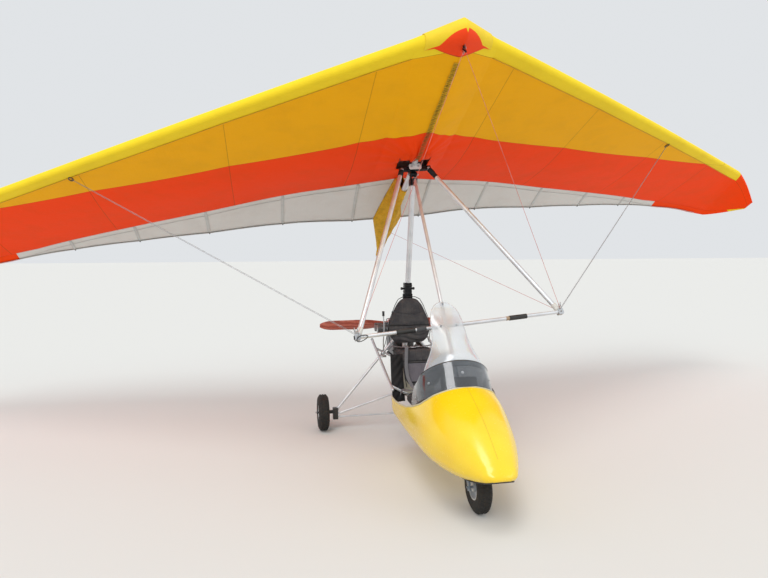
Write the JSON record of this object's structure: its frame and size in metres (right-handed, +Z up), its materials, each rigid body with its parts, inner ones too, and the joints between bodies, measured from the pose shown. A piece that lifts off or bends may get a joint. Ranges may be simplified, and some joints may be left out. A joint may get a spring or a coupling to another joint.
{
  "type": "microlight trike",
  "caption": "Tandem-seat microlight trike with an open pod, a rear engine with a pusher propeller and a flexible delta wing on an overhead hang bolt.",
  "frame": {"origin": "On the ground under the middle of the machine, on the trike's centre plane.", "axes": "+Z up; -Y forward, the way the pod's nose points; +X to the pilot's left, along the span."},
  "size_m": [10.1678, 4.1195, 3.5173],
  "materials": {
    "bright_tube": "bright drawn tube",
    "black_fitting": "black anodised",
    "black_steel": "satin black paint",
    "fork_grey": "grey-blue paint",
    "pod_yellow": "gloss moulding",
    "guard_black": "gloss moulding",
    "clear_screen": "clear sheet",
    "smoked_screen": "smoked sheet",
    "black_plastic": "matt",
    "tank_white": "natural moulded",
    "seat_cloth": "worn coated cloth",
    "sail_cloth": "coated sailcloth",
    "cone_cloth": "coated sailcloth",
    "engine_metal": "cast",
    "exhaust_steel": "heat-stained",
    "blade_wood": "varnished red-brown",
    "wire_steel": "stranded",
    "grip_foam": "foam",
    "tyre_rubber": "treaded",
    "rim_metal": "spun"
  },
  "bodies": {
    "trike": {"keel_tube": "bright_tube", "mast": "bright_tube", "mast_head": "black_fitting", "frame_fittings": "black_fitting", "front_strut": "bright_tube", "steering_head": "black_fitting", "seat_frame": "bright_tube", "rear_struts": "bright_tube", "hub_brackets": "black_steel", "front_cushion": "seat_cloth", "front_backrest": "seat_cloth", "rear_cushion": "seat_cloth", "rear_backrest": "seat_cloth", "fuel_tank": "tank_white", "pod": "pod_yellow", "lower_screen": "smoked_screen", "upper_screen": "clear_screen", "instrument_panel": "black_plastic", "engine_mount": "black_fitting", "engine": "engine_metal", "gearbox": "engine_metal", "exhaust": "exhaust_steel", "carburettors": "engine_metal"},
    "hang_block": {"hang_block": "black_fitting"},
    "wing": {"sail_left": "sail_cloth", "sail_right": "sail_cloth", "wing_keel": "bright_tube", "nose_cone": "cone_cloth", "apex_bracket": "black_fitting", "uprights": "bright_tube", "base_bar": "bright_tube", "bar_grips": "grip_foam", "wing_fittings": "black_fitting", "kingpost": "bright_tube", "keel_pocket": "sail_cloth", "side_wires": "wire_steel", "fore_aft_wires": "wire_steel", "top_wires": "wire_steel"},
    "propeller": {"propeller": "blade_wood", "propeller_hub": "rim_metal"},
    "fork": {"fork": "fork_grey", "foot_bar": "bright_tube", "mudguard": "guard_black"},
    "front_wheel": {"front_tyre": "tyre_rubber", "front_rim": "rim_metal"},
    "rear_wheel_left": {"rear_left_tyre": "tyre_rubber", "rear_left_rim": "rim_metal"},
    "rear_wheel_right": {"rear_right_tyre": "tyre_rubber", "rear_right_rim": "rim_metal"}
  },
  "joints": [
    {"name": "wing_pitch", "type": "hinge", "parent": "trike", "child": "hang_block", "pos_m": [0, 0.026, 2.358], "axis": [1, 0, 0], "range_deg": [0, 22]},
    {"name": "wing_roll", "type": "hinge", "parent": "hang_block", "child": "wing", "pos_m": [0, 0.05326, 2.41811], "axis": [0, 0.9107, -0.4131], "range_deg": [-14.6, 25.4]},
    {"name": "steering", "type": "hinge", "parent": "trike", "child": "fork", "pos_m": [0, -1.642, 0.165], "axis": [0, 0.3746, 0.9272], "range_deg": [-30, 30]},
    {"name": "front_wheel_spin", "type": "hinge", "parent": "fork", "child": "front_wheel", "pos_m": [0, -1.642, 0.165], "axis": [1, 0, 0], "continuous": true},
    {"name": "rear_wheel_left_spin", "type": "hinge", "parent": "trike", "child": "rear_wheel_left", "pos_m": [0.8135, 0.275, 0.168], "axis": [1, 0, 0], "continuous": true},
    {"name": "rear_wheel_right_spin", "type": "hinge", "parent": "trike", "child": "rear_wheel_right", "pos_m": [-0.8135, 0.275, 0.168], "axis": [1, 0, 0], "continuous": true},
    {"name": "propeller_spin", "type": "hinge", "parent": "trike", "child": "propeller", "pos_m": [0, 0.955, 0.9], "axis": [0, 1, 0], "continuous": true}
  ]
}
